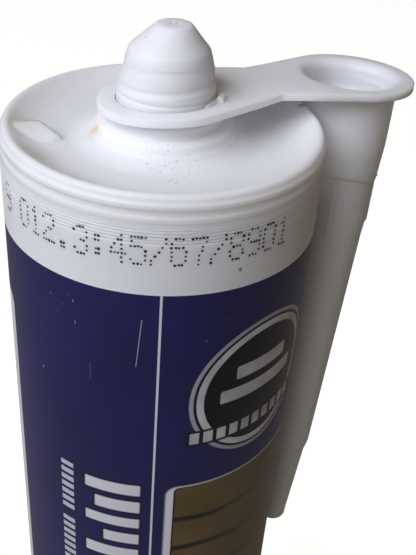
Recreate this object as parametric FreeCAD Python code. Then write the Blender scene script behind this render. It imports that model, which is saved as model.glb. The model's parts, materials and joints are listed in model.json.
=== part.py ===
import FreeCAD, Part
import math
import os

# A 310 ml caulk tube, standing on the open foot of its barrel, in millimetres.
# +Z runs up the barrel, and the origin is the centre of the foot.
# Heights named "above the lip" count from the crest of the lip at the top of the barrel.

os.makedirs("parts", exist_ok=True)

# Barrel
barrel_radius = 25.0
barrel_wall = 1.6
barrel_height = 200.0
foot_round = 0.3
rear_bore_radius = 23.65
rear_bore_length = 5.0
rear_bore_chamfer = 0.3

# Ridges and grooves outside the rim, depths below the crest of the lip
lip_bead_radius = 0.75
lip_crest_inset = 1.15
lip_groove_depth = 0.45
upper_ridge_top = 1.2
upper_ridge_bottom = 1.95
rim_groove_depth = 0.4
lower_ridge_top = 3.3
lower_ridge_bottom = 3.95
band_inset = 0.1
fine_groove_start = 5.15
fine_groove_pitch = 0.5
fine_groove_count = 5
fine_groove_depth = 0.15
fine_groove_width = 0.3

# Dished shoulder inside the rim
dish_depth = 2.6
dish_floor_radius = 17.0
bowl_shares = (0.35, 0.65)
shoulder_thickness = 1.8
shoulder_corner = 2.0

# Boss and spout in the middle of the shoulder
boss_base_radius = 10.1
boss_base_depth = 1.0
boss_step_radius = 9.2
boss_step_height = 1.2
boss_top_radius = 8.6
seat_height = 3.05
journal_radius = 7.55
journal_height = 1.6
spout_foot_radius = 7.05
spout_foot_height = 6.6
spout_neck_radius = 5.6
spout_neck_height = 11.4
spout_tip_radius = 1.8
spout_height = 15.1
spout_wall = 1.4
spout_tip_wall = 2.1
gate_dimple_radius = 0.7
gate_dimple_depth = 0.3

# Flat lug inside the rim, on the left when the tube is seen from -Y
lug_azimuth = 184.5
lug_turn = 7.3
lug_height_below_lip = 1.05
lug_top_width = 2.2
lug_slope_width = 4.6
lug_length = 5.0
lug_end_slant = 62.8
lug_rim_clearance = 0.5

# Piston, a thin cup in the barrel with two sealing lips
piston_recess = 1.0
piston_height = 10.0
piston_running_clearance = 0.05
piston_skirt_inset = 0.6
piston_wall = 1.3
piston_face_thickness = 1.6
piston_lip_height = 1.6
piston_lip_slope = 0.7
piston_nose_chamfer = 1.2

# Paste between the piston and the shoulder
paste_clearance = 0.05

# Ring, strap and flange of the nozzle, one flat plate
swivel_clearance = 0.1
seat_clearance = 0.05
plate_thickness = 1.2
ring_radius = 10.4
flange_radius = 10.7
strap_azimuth = 25.3
strap_waist_distance = 16.8
strap_waist_half_width = 6.2
strap_bend_half_length = 5.0
strap_nib_azimuth = -20.0
strap_nib_length = 1.2
strap_nib_width = 1.3
strap_nib_height = 0.7

# Nozzle that hangs from the flange beside the barrel
barrel_clearance = 0.15
nozzle_lean_in = 2.4
nozzle_lean_side = 2.0
nozzle_length = 103.0
collar_top_radius = 8.1
collar_shoulder_length = 11.2
collar_bottom_radius = 7.7
collar_length = 17.2
grip_radius = 7.3
grip_length = 27.1
fin_count = 4
fin_first_azimuth = -91.0
fin_radius = 7.75
fin_width = 1.2
fin_chamfer = 0.8
taper_top_radius = 7.15
taper_bottom_radius = 5.15
taper_length = 79.4
tip_step_radius = 4.55
tip_step_length = 3.1
tip_radius = 3.05
tip_round = 0.7
mouth_round = 0.85
socket_radius = 7.2
socket_length = 14.0
nozzle_wall = 1.25
tip_bore_radius = 1.6

up = FreeCAD.Vector(0, 0, 1)
origin = FreeCAD.Vector(0, 0, 0)

bore_radius = barrel_radius - barrel_wall
seat_z = barrel_height + seat_height
dish_z = barrel_height - dish_depth
underside_z = dish_z - shoulder_thickness
paste_top_z = underside_z - paste_clearance
piston_rear_z = rear_bore_length + piston_recess
piston_front_z = piston_rear_z + piston_height


def at(radius, height):
    """Point of a turned profile at this radius and height."""
    return FreeCAD.Vector(radius, 0, height)


def line(start, end):
    """Straight edge."""
    return Part.LineSegment(start, end).toShape()


def arc(start, middle, end):
    """Circular edge through three points."""
    return Part.Arc(start, middle, end).toShape()


def soft(points):
    """One smooth curve through all the points."""
    curve = Part.BSplineCurve()
    curve.interpolate(points)
    return curve.toShape()


def polyline(points):
    """Straight edges from point to point."""
    return [line(a, b) for a, b in zip(points[:-1], points[1:])]


def quarter(centre, radius, first_angle, last_angle):
    """Arc about a centre in the profile plane, between two angles in degrees."""
    ends = []
    for angle in (first_angle, (first_angle + last_angle) / 2, last_angle):
        turn = math.radians(angle)
        ends.append(centre + at(radius * math.cos(turn), radius * math.sin(turn)))
    return arc(*ends)


def turned(edges):
    """Solid of revolution about Z from a closed run of profile edges."""
    face = Part.Face(Part.Wire(edges))
    return face.revolve(origin, up, 360)


def tangent_point(radius, outside):
    """Point of a circle about the origin, on the outside point's own side of X, where its tangent touches."""
    distance = outside.Length
    spread = math.acos(radius / distance)
    direction = math.atan2(outside.y, outside.x)
    turn = direction + math.copysign(spread, outside.x * outside.y)
    return FreeCAD.Vector(radius * math.cos(turn), radius * math.sin(turn), 0)


def rim_outside():
    """Profile edges up the outside of the barrel, from the foot to the groove under the lip."""
    edges = []
    edges.append(quarter(at(barrel_radius - foot_round, foot_round), foot_round, -90, 0))
    last = at(barrel_radius, foot_round)
    for step in range(fine_groove_count - 1, -1, -1):
        middle = barrel_height - fine_groove_start - step * fine_groove_pitch
        below = at(barrel_radius, middle - fine_groove_width / 2)
        valley = at(barrel_radius - fine_groove_depth, middle)
        above = at(barrel_radius, middle + fine_groove_width / 2)
        edges += polyline([last, below, valley, above])
        last = above
    band_z = barrel_height - lower_ridge_bottom
    band_radius = barrel_radius - band_inset
    edges += polyline([last, at(band_radius, last.z + band_inset), at(band_radius, band_z - band_inset),
                       at(barrel_radius, band_z), at(barrel_radius, barrel_height - lower_ridge_top)])
    groove_z = barrel_height - (upper_ridge_bottom + lower_ridge_top) / 2
    edges.append(arc(at(barrel_radius, barrel_height - lower_ridge_top),
                     at(barrel_radius - rim_groove_depth, groove_z),
                     at(barrel_radius, barrel_height - upper_ridge_bottom)))
    edges.append(line(at(barrel_radius, barrel_height - upper_ridge_bottom),
                      at(barrel_radius, barrel_height - upper_ridge_top)))
    return edges


def lip_and_dish():
    """Profile edges over the lip and down the bowl of the shoulder to the foot of the boss."""
    crest_radius = barrel_radius - lip_crest_inset
    centre = at(crest_radius, barrel_height - lip_bead_radius)
    outer = centre + at(lip_bead_radius, 0)
    groove = at(barrel_radius - lip_groove_depth, barrel_height - (lip_bead_radius + upper_ridge_top) / 2)
    ridge = at(barrel_radius, barrel_height - upper_ridge_top)
    inner = centre - at(lip_bead_radius, 0)
    bowl = [inner]
    for share in bowl_shares:
        bowl.append(at(inner.x - (inner.x - dish_floor_radius) * (1 - math.cos(share * math.pi / 2)),
                       inner.z - (inner.z - dish_z) * math.sin(share * math.pi / 2)))
    bowl.append(at(dish_floor_radius, dish_z))
    bowl.append(at((dish_floor_radius + boss_base_radius) / 2, barrel_height - (dish_depth + boss_base_depth) / 2))
    bowl.append(at(boss_base_radius, barrel_height - boss_base_depth))
    return [line(ridge, groove), line(groove, outer), arc(outer, at(crest_radius, barrel_height), inner), soft(bowl)]


def boss_and_spout():
    """Profile edges up the boss, the seat and journal for the ring, and the spout to its closed tip."""
    z = barrel_height
    points = [
        at(boss_base_radius, z - boss_base_depth),
        at(boss_step_radius, z + boss_step_height),
        at(boss_top_radius, z + boss_step_height),
        at(boss_top_radius, seat_z),
        at(journal_radius, seat_z),
        at(journal_radius, seat_z + journal_height),
        at(spout_foot_radius, seat_z + journal_height),
        at(spout_foot_radius, z + spout_foot_height),
        at(spout_neck_radius, z + spout_neck_height),
        at(spout_tip_radius, z + spout_height),
        at(gate_dimple_radius, z + spout_height),
        at(0, z + spout_height - gate_dimple_depth),
    ]
    return polyline(points)


def inside_of_spout(clearance):
    """Points of the hollow from the spout's closed end down to the flat underside of the shoulder."""
    z = barrel_height
    return [
        at(0, z + spout_height - spout_tip_wall - clearance),
        at(spout_tip_radius - clearance, z + spout_height - spout_tip_wall - clearance),
        at(spout_neck_radius - spout_wall - clearance, z + spout_neck_height - spout_wall),
        at(spout_foot_radius - spout_wall - clearance, z + spout_foot_height - spout_wall),
        at(boss_top_radius - spout_wall - clearance, z - boss_base_depth),
        at(boss_top_radius - spout_wall - clearance, underside_z - clearance),
    ]


def cartridge_lug():
    """Flat topped lug against the inside of the rim, sloping down to the dish on its near side."""
    start = FreeCAD.Vector(barrel_radius - lip_crest_inset, 0, 0)
    top_z = barrel_height - lug_height_below_lip
    section = [
        FreeCAD.Vector(0, 0, top_z),
        FreeCAD.Vector(0, -lug_top_width, top_z),
        FreeCAD.Vector(0, -lug_top_width - lug_slope_width, dish_z),
        FreeCAD.Vector(0, -lug_top_width - lug_slope_width, underside_z + shoulder_thickness / 2),
        FreeCAD.Vector(0, 0, underside_z + shoulder_thickness / 2),
        FreeCAD.Vector(0, 0, top_z),
    ]
    reach = lug_length + 2 * (lug_top_width + lug_slope_width)
    wedge = Part.Face(Part.makePolygon(section)).extrude(FreeCAD.Vector(reach, 0, 0))
    slant = math.tan(math.radians(90 - lug_end_slant)) * (lug_top_width + lug_slope_width)
    plan = [
        FreeCAD.Vector(0, 0, 0),
        FreeCAD.Vector(lug_length, 0, 0),
        FreeCAD.Vector(lug_length + slant, -lug_top_width - lug_slope_width, 0),
        FreeCAD.Vector(0, -lug_top_width - lug_slope_width, 0),
        FreeCAD.Vector(0, 0, 0),
    ]
    outline = Part.Face(Part.makePolygon(plan)).extrude(up * (barrel_height + spout_height))
    lug = wedge.common(outline)
    lug.rotate(origin, up, lug_turn)
    azimuth = math.radians(lug_azimuth)
    lug.translate(FreeCAD.Vector(start.x * math.cos(azimuth), start.x * math.sin(azimuth), 0))
    keep = Part.makeCylinder(barrel_radius - lip_crest_inset - lug_rim_clearance / 2, barrel_height)
    return lug.common(keep)


def make_cartridge():
    """Barrel, rim, shoulder, boss and closed spout in one moulding."""
    edges = rim_outside() + lip_and_dish() + boss_and_spout()
    hollow = inside_of_spout(0)
    edges.append(line(at(0, barrel_height + spout_height - gate_dimple_depth), hollow[0]))
    edges += polyline(hollow)
    corner = at(bore_radius - shoulder_corner, underside_z)
    edges.append(line(hollow[-1], corner))
    edges.append(quarter(corner - at(0, shoulder_corner), shoulder_corner, 90, 0))
    step_z = rear_bore_length + rear_bore_radius - bore_radius
    edges += polyline([
        at(bore_radius, underside_z - shoulder_corner),
        at(bore_radius, step_z),
        at(rear_bore_radius, rear_bore_length),
        at(rear_bore_radius, rear_bore_chamfer),
        at(rear_bore_radius + rear_bore_chamfer, 0),
        at(barrel_radius - foot_round, 0),
    ])
    return turned(edges).fuse(cartridge_lug()).removeSplitter()


def make_piston():
    """Thin cup, open to the rear, with a sealing lip at each end of its skirt."""
    lip = bore_radius - piston_running_clearance
    skirt = bore_radius - piston_skirt_inset
    inner = skirt - piston_wall
    inner_z = piston_front_z - piston_face_thickness
    points = [
        at(0, piston_front_z),
        at(lip - piston_nose_chamfer, piston_front_z),
        at(lip, piston_front_z - piston_nose_chamfer),
        at(lip, piston_front_z - piston_nose_chamfer - piston_lip_height),
        at(skirt, piston_front_z - piston_nose_chamfer - piston_lip_height - piston_lip_slope),
        at(skirt, piston_rear_z + piston_lip_height + piston_lip_slope),
        at(lip, piston_rear_z + piston_lip_height),
        at(lip, piston_rear_z),
        at(inner, piston_rear_z),
        at(inner, inner_z),
        at(0, inner_z),
        at(0, piston_front_z),
    ]
    return turned(polyline(points))


def make_sealant():
    """The paste: a column from the piston to the shoulder, with a plug up the inside of the spout."""
    radius = bore_radius - paste_clearance
    bottom_z = piston_front_z + paste_clearance
    plug = inside_of_spout(paste_clearance)
    corner = at(radius - shoulder_corner, paste_top_z)
    edges = polyline(plug)
    edges.append(line(plug[-1], corner))
    edges.append(quarter(corner - at(0, shoulder_corner), shoulder_corner, 90, 0))
    edges += polyline([at(radius, paste_top_z - shoulder_corner), at(radius, bottom_z), at(0, bottom_z), plug[0]])
    return turned(edges)


# Ring plate lies on the seat of the boss. The nozzle's own axis leans, so its flange and this plate
# meet in a short twisted stretch at the strap's waist.
ring_bottom_z = seat_z + seat_clearance
ring_top_z = ring_bottom_z + plate_thickness
lean_in = math.tan(math.radians(nozzle_lean_in))
lean_side = math.tan(math.radians(nozzle_lean_side))


def axis_distance(distance, radius):
    """Distance of the nozzle's axis from the barrel's that keeps this section of the nozzle clear."""
    return barrel_radius + barrel_clearance + radius + distance * lean_in


hang_distance = max(axis_distance(collar_shoulder_length, collar_top_radius),
                    axis_distance(collar_length, collar_bottom_radius),
                    axis_distance(grip_length, grip_radius),
                    axis_distance(taper_length, taper_bottom_radius),
                    axis_distance(nozzle_length, tip_radius))
flange_z = ring_top_z - (hang_distance - strap_waist_distance) * lean_in
nozzle_axis = FreeCAD.Vector(lean_in, lean_side, 1).normalize()


def plate_outline(radius, waist, cut):
    """Flat plate: a disc about the origin with a tapering tongue towards the waist, cut off short."""
    disc = Part.makeCylinder(radius, plate_thickness, FreeCAD.Vector(0, 0, -plate_thickness))
    touch = tangent_point(radius, waist)
    share = (cut - touch.x) / (waist.x - touch.x)
    end_y = touch.y + (waist.y - touch.y) * share
    corners = [(touch.x, touch.y), (cut, end_y), (cut, -end_y), (touch.x, -touch.y), (touch.x, touch.y)]
    face = Part.Face(Part.makePolygon([FreeCAD.Vector(x, y, -plate_thickness) for x, y in corners]))
    return disc.fuse(face.extrude(up * plate_thickness)), end_y


def end_section(x, half_width):
    """Upright rectangle across the strap, under its top face."""
    corners = [(half_width, 0), (-half_width, 0), (-half_width, -plate_thickness), (half_width, -plate_thickness)]
    return Part.makePolygon([FreeCAD.Vector(x, y, z) for y, z in corners + corners[:1]])


def place_leaning(shape):
    """Move a shape from the nozzle's own axes, mouth at the origin, to its place beside the barrel."""
    turn = FreeCAD.Rotation(up, nozzle_axis)
    shape.Placement = FreeCAD.Placement(FreeCAD.Vector(hang_distance, 0, flange_z), turn).multiply(shape.Placement)
    return shape


def nozzle_outside(distance):
    """Outside radius of the long taper at a distance from the flange's top face."""
    share = (distance - grip_length) / (taper_length - grip_length)
    return taper_top_radius + (taper_bottom_radius - taper_top_radius) * share


def make_tube_outside():
    """Outside of the nozzle as a full solid: collar, grip and two tapers, turned about its own axis."""
    step = taper_length + tip_step_length
    lower = nozzle_length - tip_round
    edges = polyline([
        at(0, -plate_thickness / 2),
        at(collar_top_radius, -plate_thickness / 2),
        at(collar_top_radius, -collar_shoulder_length),
        at(collar_bottom_radius, -collar_length),
        at(grip_radius, -collar_length),
        at(grip_radius, -grip_length),
        at(taper_top_radius, -grip_length),
        at(taper_bottom_radius, -taper_length),
        at(tip_step_radius, -step),
        at(tip_radius, -lower),
    ])
    edges.append(quarter(at(tip_radius - tip_round, -lower), tip_round, 0, -90))
    edges += polyline([at(tip_radius - tip_round, -nozzle_length), at(0, -nozzle_length), at(0, -plate_thickness / 2)])
    return turned(edges)


def make_tube_hollow():
    """Everything inside the nozzle, from its rounded mouth through the socket to the tip's small bore."""
    step = taper_length + tip_step_length
    bore_start = socket_length + nozzle_wall
    mouth = socket_radius + mouth_round
    edges = [quarter(at(mouth, -mouth_round), mouth_round, 90, 180)]
    edges += polyline([
        at(socket_radius, -mouth_round),
        at(socket_radius, -socket_length),
        at(nozzle_outside(bore_start) - nozzle_wall, -bore_start),
        at(taper_bottom_radius - nozzle_wall, -taper_length),
        at(tip_step_radius - nozzle_wall, -step),
        at(tip_bore_radius, -nozzle_length),
        at(tip_bore_radius, -nozzle_length - nozzle_wall),
        at(0, -nozzle_length - nozzle_wall),
        at(0, plate_thickness),
        at(mouth, plate_thickness),
        at(mouth, 0),
    ])
    return turned(edges)


def make_fin(azimuth):
    """One upright grip fin with a chamfered lower end."""
    inner = grip_radius - nozzle_wall / 2
    points = [
        at(inner, -collar_length),
        at(fin_radius, -collar_length),
        at(fin_radius, fin_chamfer - grip_length),
        at(fin_radius - fin_chamfer, -grip_length),
        at(inner, -grip_length),
        at(inner, -collar_length),
    ]
    face = Part.Face(Part.makePolygon(points))
    face.translate(FreeCAD.Vector(0, -fin_width / 2, 0))
    fin = face.extrude(FreeCAD.Vector(0, fin_width, 0))
    fin.rotate(origin, up, azimuth)
    return fin


def make_nozzle():
    """Ring, strap, flange and hanging nozzle in one moulding."""
    ring_waist = FreeCAD.Vector(strap_waist_distance, strap_waist_half_width, 0)
    flange_waist = FreeCAD.Vector(strap_waist_distance - hang_distance, strap_waist_half_width, 0)
    near_cut = strap_waist_distance - strap_bend_half_length
    far_cut = strap_waist_distance + strap_bend_half_length - hang_distance
    ring, near_half_width = plate_outline(ring_radius, ring_waist, near_cut)
    flange, far_half_width = plate_outline(flange_radius, flange_waist, far_cut)
    near_section = end_section(near_cut, near_half_width)
    far_section = place_leaning(end_section(far_cut, far_half_width))
    for shape in (ring, near_section):
        shape.translate(up * ring_top_z)
    middle = end_section(strap_waist_distance, strap_waist_half_width)
    middle.rotate(FreeCAD.Vector(strap_waist_distance, 0, 0), FreeCAD.Vector(1, 0, 0), -nozzle_lean_side / 2)
    middle.translate(up * ring_top_z)
    strap = Part.makeLoft([near_section, middle, far_section], True, True)
    nib = Part.makeBox(strap_nib_length, strap_nib_width, strap_nib_height + plate_thickness / 2)
    nib.translate(FreeCAD.Vector(journal_radius + 2 * swivel_clearance, 0, ring_top_z - plate_thickness / 2))
    nib.rotate(origin, up, strap_nib_azimuth - strap_azimuth)
    hole = Part.makeCylinder(journal_radius + swivel_clearance, plate_thickness, FreeCAD.Vector(0, 0, ring_bottom_z))
    fins = [make_fin(fin_first_azimuth - strap_azimuth + number * 360 / fin_count) for number in range(fin_count)]
    hanging = flange.fuse([make_tube_outside()] + fins).cut(make_tube_hollow())
    nozzle = ring.cut(hole).fuse([strap, nib, place_leaning(hanging)]).removeSplitter()
    nozzle.rotate(origin, up, strap_azimuth)
    return nozzle


pieces = {
    "cartridge": make_cartridge(),
    "piston": make_piston(),
    "sealant": make_sealant(),
    "nozzle": make_nozzle(),
}

for name, shape in pieces.items():
    solid = shape.Solids[0]
    assert len(shape.Solids) == 1 and solid.isValid(), name
    solid.exportStep("parts/" + name + ".step")
    box = solid.BoundBox
    print(name, "volume", round(solid.Volume / 1000, 2), "ml",
          "x", round(box.XMin, 2), round(box.XMax, 2), "y", round(box.YMin, 2), round(box.YMax, 2),
          "z", round(box.ZMin, 2), round(box.ZMax, 2))

turn = math.radians(strap_azimuth)
mouth_centre = FreeCAD.Vector(hang_distance * math.cos(turn), hang_distance * math.sin(turn), flange_z)
mouth_axis = FreeCAD.Rotation(up, strap_azimuth).multVec(nozzle_axis)
print("mouth centre", mouth_centre, "axis", mouth_axis, "hang distance", round(hang_distance, 3))
print("piston travel room", round(paste_top_z - piston_front_z, 3), "underside", round(underside_z, 3))
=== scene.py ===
import json
import math
import bpy
import numpy as np
from mathutils import Matrix, Vector


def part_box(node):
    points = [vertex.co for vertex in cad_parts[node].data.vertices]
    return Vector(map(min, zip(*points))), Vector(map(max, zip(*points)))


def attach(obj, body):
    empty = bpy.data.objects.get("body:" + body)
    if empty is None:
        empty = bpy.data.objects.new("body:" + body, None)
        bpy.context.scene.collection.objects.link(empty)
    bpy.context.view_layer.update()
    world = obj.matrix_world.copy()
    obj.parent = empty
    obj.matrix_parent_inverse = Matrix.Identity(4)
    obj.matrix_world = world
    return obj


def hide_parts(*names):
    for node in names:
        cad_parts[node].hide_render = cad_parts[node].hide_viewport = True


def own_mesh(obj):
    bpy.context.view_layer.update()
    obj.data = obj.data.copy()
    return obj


# Caulk tube: the looks of a 310 ml cartridge with its closed spout and a spare nozzle on a strap.
# Lengths are in millimetres until a mesh is made. Heights on the cartridge count from the crest of its lip,
# LIP_Z above the floor, and u is the distance round the barrel from its front, positive to the right.

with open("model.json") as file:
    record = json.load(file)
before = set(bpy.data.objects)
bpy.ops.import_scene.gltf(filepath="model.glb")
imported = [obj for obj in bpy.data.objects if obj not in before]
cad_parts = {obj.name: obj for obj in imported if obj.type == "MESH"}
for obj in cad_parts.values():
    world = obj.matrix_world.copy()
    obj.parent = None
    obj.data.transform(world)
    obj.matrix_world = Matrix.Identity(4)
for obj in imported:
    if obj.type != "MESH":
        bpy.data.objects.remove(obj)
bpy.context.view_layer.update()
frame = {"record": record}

MM = 0.001

# Sizes read from the frame
barrel_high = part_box("cartridge")[1]
nozzle_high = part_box("nozzle")[1]
piston_low, piston_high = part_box("piston")
mounts = {mount["name"]: mount for mount in frame["record"]["mounts"]}
socket = mounts["nozzle_socket"]
rear_bore = mounts["rear_bore"]["dims"]

SPOUT_HEIGHT = 15.1
BARREL_R = round(barrel_high.x / MM, 3)
LIP_Z = barrel_high.z / MM - SPOUT_HEIGHT
BORE_R = 23.4
REAR_BORE_R = rear_bore["r_mm"]
REAR_BORE_DEPTH = rear_bore["length_mm"]
SOCKET_R = socket["dims"]["r_mm"]
SOCKET_DEPTH = 14.0
NOZZLE_AXIS = np.array(socket["axis"])
NIB_HEIGHT = 0.7
PLATE_TOP = nozzle_high.z / MM - NIB_HEIGHT
PLATE = 1.2
PISTON_REAR = piston_low.z / MM
PISTON_FRONT = piston_high.z / MM

# Columns of the turned pieces, and the steps of a fillet that turns a quarter round
ROUND = 2 * math.pi
BARREL_COLUMNS = 232
LUG_COLUMNS = 46
PISTON_COLUMNS = 180
PASTE_COLUMNS = 96
ARC_STEPS = 6


def unit(vector):
    """The vector divided by its length."""
    return vector / np.linalg.norm(vector)


def ease(value):
    """Smooth step: 3t^2 - 2t^3, with t held between 0 and 1."""
    t = np.clip(value, 0, 1)
    return t * t * (3 - 2 * t)


def between(value, low, high, soft):
    """1 between low and high and 0 outside, with eased flanks as wide as soft, centred on each end."""
    return ease((value - low) / soft + 0.5) * ease((high - value) / soft + 0.5)


def rounded(corners):
    """Profile through corners (radius, height, fillet). Each corner is swapped for the arc tangent to both
    its runs, which starts fillet / tan(half angle) from it and turns about a point on the bisector."""
    rows = [np.array(corners[0][:2], float)[None]]
    for before, corner, after in zip(corners[:-2], corners[1:-1], corners[2:]):
        here = np.array(corner[:2], float)
        if corner[2] == 0:
            rows.append(here[None])
            continue
        back = unit(np.array(before[:2]) - here)
        ahead = unit(np.array(after[:2]) - here)
        half = 0.5 * math.acos(np.clip(back @ ahead, -1, 1))
        centre = here + unit(back + ahead) * corner[2] / math.sin(half)
        first = here + back * corner[2] / math.tan(half) - centre
        last = here + ahead * corner[2] / math.tan(half) - centre
        turn = math.pi - 2 * half
        steps = max(2, math.ceil(turn / (math.pi / 2) * ARC_STEPS))
        t = np.linspace(0, 1, steps + 1)[:, None]
        rows.append(centre + (np.sin((1 - t) * turn) * first + np.sin(t * turn) * last) / math.sin(turn))
    rows.append(np.array(corners[-1][:2], float)[None])
    return np.concatenate(rows)


def filled(profile, spacing):
    """The same profile with more points on its long runs, none further apart than the spacing."""
    steps = np.maximum(1, np.ceil(np.linalg.norm(np.diff(profile, axis=0), axis=1) / spacing)).astype(int)
    start = np.repeat(np.arange(len(steps)), steps)
    share = np.concatenate([np.arange(n) / n for n in steps])[:, None]
    points = profile[start] * (1 - share) + profile[start + 1] * share
    return np.concatenate([points, profile[-1:]])


def turned(profile, angles):
    """Surface of revolution: x = r cos a, y = r sin a, z = height, as rows by columns by 3."""
    radius, height = profile[:, :1], profile[:, 1:2]
    return np.stack([radius * np.cos(angles), radius * np.sin(angles), height + 0 * angles], axis=-1)


def grid_quads(rows, columns, first=0, closed_rows=False):
    """Corner numbers of the quads of a grid whose columns close on themselves, and its rows if asked."""
    row = np.arange(rows if closed_rows else rows - 1)[:, None]
    column = np.arange(columns)[None, :]
    next_row, next_column = (row + 1) % rows, (column + 1) % columns
    corners = [row * columns + column, row * columns + next_column,
               next_row * columns + next_column, next_row * columns + column]
    return np.stack(np.broadcast_arrays(*corners), axis=-1).reshape(-1, 4) + first


def welded(points, quads):
    """Merge points that meet to a ten-thousandth of a millimetre. Quads that lose a corner are triangles."""
    first, index = np.unique(np.round(points, 4), axis=0, return_index=True, return_inverse=True)[1:]
    quads = index.reshape(-1)[quads]
    double = quads == np.roll(quads, -1, axis=1)
    count = double.sum(axis=1)
    triangles = quads[count == 1][~double[count == 1]].reshape(-1, 3)
    return points[first], quads[count == 0], triangles


def put_in_scene(name, data):
    """Object of a mesh, camera or lamp, linked to the scene."""
    made = bpy.data.objects.new(name, data)
    bpy.context.scene.collection.objects.link(made)
    return made


def make_piece(name, points, quads):
    """Mesh object of welded points in millimetres, its own origin at the frame's origin."""
    points, quads, triangles = welded(points, quads)
    corners = np.concatenate([quads.ravel(), triangles.ravel()])
    starts = np.concatenate([np.arange(len(quads)) * 4, quads.size + np.arange(len(triangles)) * 3])
    mesh = bpy.data.meshes.new(name)
    mesh.vertices.add(len(points))
    mesh.vertices.foreach_set("co", (points * MM).astype(np.float32).ravel())
    mesh.loops.add(len(corners))
    mesh.loops.foreach_set("vertex_index", corners.astype(np.int32))
    mesh.polygons.add(len(starts))
    mesh.polygons.foreach_set("loop_start", starts.astype(np.int32))
    mesh.polygons.foreach_set("use_smooth", np.ones(len(starts), bool))
    mesh.update(calc_edges=True)
    mesh.validate()
    return put_in_scene(name, mesh)


def make_turned(name, profile, spacing, columns):
    """Closed piece turned about the barrel's axis from a profile that starts and ends on that axis."""
    points = turned(filled(profile, spacing), np.arange(columns) * ROUND / columns)
    return make_piece(name, points.reshape(-1, 3), grid_quads(len(points), columns)[:, ::-1])


# Spout: its right-handed thread, shallower towards the tip, and the way it and its tip lean to the right
THREAD_PITCH = 2.7
THREAD_TOP = 11.0
THREAD_FOOT = 5.3
THREAD_FRONT_GROOVE = 9.35
THREAD_GROOVE_SHARE = 0.55
THREAD_SHALLOW = 0.08
THREAD_DEEPER = 0.26
THREAD_DEEPENS_FROM = 9.4
THREAD_DEEPENS_OVER = 3.6
CREST_HEIGHTS = (4.6, 5.3, 6.2, 7.1, 8.3, 9.7, 11.05)
CREST_RADII = (7.4, 7.46, 7.42, 7.1, 6.82, 6.48, 6.05)
TIP_HEIGHT = 14.75
SPOUT_SHIFT = 0.25
TIP_SHIFT = 0.55
TIP_BEND = 10.5


def thread_groove(height, angles):
    """Depth of the helical groove: a raised cosine of the phase (height - pitch * turn) / pitch, over the
    groove's share of the pitch, deeper towards the foot and faded out at both ends."""
    turn = (angles + math.pi / 2) / ROUND
    phase = (height - THREAD_FRONT_GROOVE) / THREAD_PITCH - turn
    off_centre = np.abs(phase - np.round(phase)) / (THREAD_GROOVE_SHARE / 2)
    groove = 0.5 + 0.5 * np.cos(np.pi * np.clip(off_centre, 0, 1))
    depth = THREAD_SHALLOW + THREAD_DEEPER * ease((THREAD_DEEPENS_FROM - height) / THREAD_DEEPENS_OVER)
    return groove * depth * ease((THREAD_TOP - height) / 0.8) * ease((height - THREAD_FOOT) / 0.5)


# Dished shoulder: its floor's circle, the boss at its middle and the round bead of the lip
DISH_DEPTH = 2.6
DISH_FLOOR_R = 14.9
DISH_FALL_ROWS = 20
DISH_RISE_ROWS = 44
DISH_FALL_POWER = 1.6
BOSS_R = 10.1
BOSS_DEPTH = 1.0
BOSS_FOOT_R = 11.2
BEAD_R = 0.75
BEAD_CENTRE_R = BARREL_R - 1.15
BEAD_START = math.radians(130)

# Flat lug inside the rim
LUG_AZIMUTH = math.radians(184.5)
LUG_TURN = math.radians(7.3)
LUG_TOP = -0.66
LUG_FLAT = 2.2
LUG_SLOPE = 4.4
LUG_TWIST = 0.28
LUG_LENGTH = 4.75
LUG_SLANT = 1.15
LUG_KNEE = 2.9
LUG_RETURN = 1.0
LUG_EDGE = 0.45
LUG_BEFORE = math.radians(6)
LUG_AFTER = math.radians(34)


def with_lug(points):
    """Raise the dish to the lug: flat over its top strip, then a straight slope down to the dish, in a plan
    bounded by its back edge and its slanted end, which turns back at a knee. Along and across are distances
    in the lug's own axes."""
    x = points[..., 0] - BEAD_CENTRE_R * math.cos(LUG_AZIMUTH)
    y = points[..., 1] - BEAD_CENTRE_R * math.sin(LUG_AZIMUTH)
    along = x * math.cos(LUG_TURN) + y * math.sin(LUG_TURN)
    across = x * math.sin(LUG_TURN) - y * math.cos(LUG_TURN)
    fall = np.clip((across - LUG_FLAT + LUG_TWIST * along) / LUG_SLOPE, 0, 1)
    surface = LUG_TOP - fall * (DISH_DEPTH + LUG_TOP)
    past = np.maximum(across - LUG_KNEE, 0)
    end = LUG_LENGTH + LUG_SLANT * (across - past) - LUG_RETURN * past
    inside = ease(across / LUG_EDGE + 0.5) * ease((end - along) / LUG_EDGE + 0.5)
    inside = inside * (np.hypot(points[..., 0], points[..., 1]) < BEAD_CENTRE_R - BEAD_R)
    points = points.copy()
    points[..., 2] += inside * np.maximum(surface - points[..., 2], 0)
    return points


def dish_profile():
    """From the boss out to the lip: height = -depth + rise * s^power, s the share of the way from the floor's
    circle, falling gently towards it from the boss. The outer power gives the bowl the bead's own slope where
    they meet: slope * run / rise."""
    inner = BEAD_CENTRE_R + BEAD_R * math.cos(BEAD_START)
    rise = DISH_DEPTH - BEAD_R + BEAD_R * math.sin(BEAD_START)
    power = -(inner - DISH_FLOOR_R) / rise / math.tan(BEAD_START)
    falling = np.linspace(1, 0, DISH_FALL_ROWS)
    rising = np.linspace(0, 1, DISH_RISE_ROWS)[1:]
    slope_r = DISH_FLOOR_R - (DISH_FLOOR_R - BOSS_R) * falling
    slope_z = -DISH_DEPTH + (DISH_DEPTH - BOSS_DEPTH) * falling ** DISH_FALL_POWER
    bowl_r = DISH_FLOOR_R + (inner - DISH_FLOOR_R) * rising
    bowl_z = -DISH_DEPTH + rise * rising ** power
    return np.stack([np.concatenate([slope_r, bowl_r]), np.concatenate([slope_z, bowl_z])], axis=1)


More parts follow.
